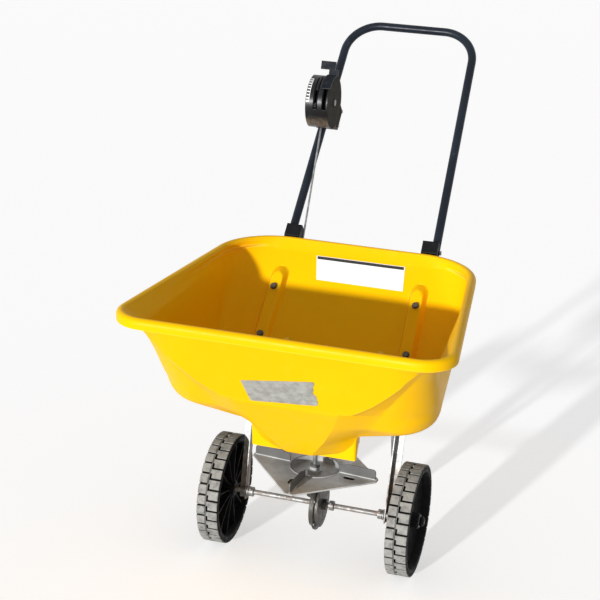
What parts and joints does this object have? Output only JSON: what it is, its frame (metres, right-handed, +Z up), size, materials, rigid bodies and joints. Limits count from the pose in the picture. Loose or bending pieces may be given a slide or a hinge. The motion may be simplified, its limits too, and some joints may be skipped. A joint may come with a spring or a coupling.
{
  "type": "broadcast spreader",
  "caption": "Walk-behind broadcast spreader: a yellow hopper on two lugged wheels, a ground-driven impeller under a shut-off gate, and a dark tube push handle with a rate lever.",
  "frame": {"origin": "on the ground, under the middle of the bounding box", "axes": "+X is to the right seen from the front, +Y is the rear, where the handle is, and +Z is up"},
  "size_m": [0.5676, 0.8828, 0.8791],
  "materials": {
    "hopper_yellow": "satin, moulded",
    "handle_blue": "dark blue enamel",
    "wheel_black": "matte, dusty",
    "trim_black": "matte",
    "case_grey": "matte",
    "gear_white": "satin",
    "impeller_grey": "satin",
    "galvanised": "zinc coated, rusting",
    "fastener_steel": "zinc coated",
    "axle_steel": "bare, rusty"
  },
  "bodies": {
    "frame": {"hopper": "hopper_yellow", "hopper_bolts": "fastener_steel", "outlet_guides": "trim_black", "guide_screws": "fastener_steel", "gate_deflector": "trim_black", "gear_case_left": "case_grey", "gear_case_right": "case_grey", "gear_case_screws": "fastener_steel", "axle_bushings": "axle_steel", "strut_left": "galvanised", "strut_right": "galvanised", "strut_nuts": "fastener_steel", "stand": "galvanised", "stand_bolts": "fastener_steel", "stand_feet": "wheel_black", "handle": "handle_blue", "handle_bracket_left": "trim_black", "handle_bracket_right": "trim_black", "handle_bolts": "fastener_steel", "console_left": "trim_black", "console_right": "trim_black", "console_screws": "fastener_steel", "lever_pin": "fastener_steel"},
    "axle": {"axle": "axle_steel", "axle_collars": "axle_steel", "crown_gear": "gear_white", "drive_wheel": "wheel_black", "drive_pin": "fastener_steel", "wheel_washers": "fastener_steel", "wheel_caps": "wheel_black"},
    "free_wheel": {"free_wheel": "wheel_black"},
    "impeller": {"impeller": "impeller_grey", "impeller_shaft": "fastener_steel", "pinion": "gear_white", "agitator": "fastener_steel"},
    "lever": {"lever": "trim_black"},
    "pointer": {"rate_pointer": "trim_black"},
    "rod": {"control_rod": "fastener_steel"},
    "gate": {"gate": "galvanised"}
  },
  "joints": [
    {"name": "axle_spin", "type": "hinge", "parent": "frame", "child": "axle", "pos_m": [0, -0.14641, 0.1016], "axis": [1, 0, 0], "continuous": true},
    {"name": "free_wheel_spin", "type": "hinge", "parent": "axle", "child": "free_wheel", "pos_m": [-0.174, -0.14641, 0.1016], "axis": [1, 0, 0], "continuous": true},
    {"name": "impeller_spin", "type": "hinge", "parent": "frame", "child": "impeller", "pos_m": [-0.004, -0.14641, 0.174], "axis": [0, 0, 1], "continuous": true},
    {"name": "lever_swing", "type": "hinge", "parent": "frame", "child": "lever", "pos_m": [-0.132, 0.25219, 0.74932], "axis": [1, 0, 0], "range_deg": [0, 56.02]},
    {"name": "pointer_swing", "type": "hinge", "parent": "frame", "child": "pointer", "pos_m": [-0.1323, 0.25219, 0.74932], "axis": [1, 0, 0], "range_deg": [-30, 3]},
    {"name": "rod_slide", "type": "slide", "parent": "frame", "child": "rod", "axis": [-0.0597, 0.6142, 0.7869], "range_m": [0, 0.02442]},
    {"name": "gate_slide", "type": "slide", "parent": "frame", "child": "gate", "axis": [0, 1, 0], "range_m": [0, 0.015]}
  ],
  "couplings": [
    {"joint": "impeller_spin", "follows": "axle_spin", "ratio": -4},
    {"joint": "rod_slide", "follows": "lever_swing", "m_per_rad": 0.024977},
    {"joint": "gate_slide", "follows": "lever_swing", "m_per_rad": 0.015341}
  ]
}
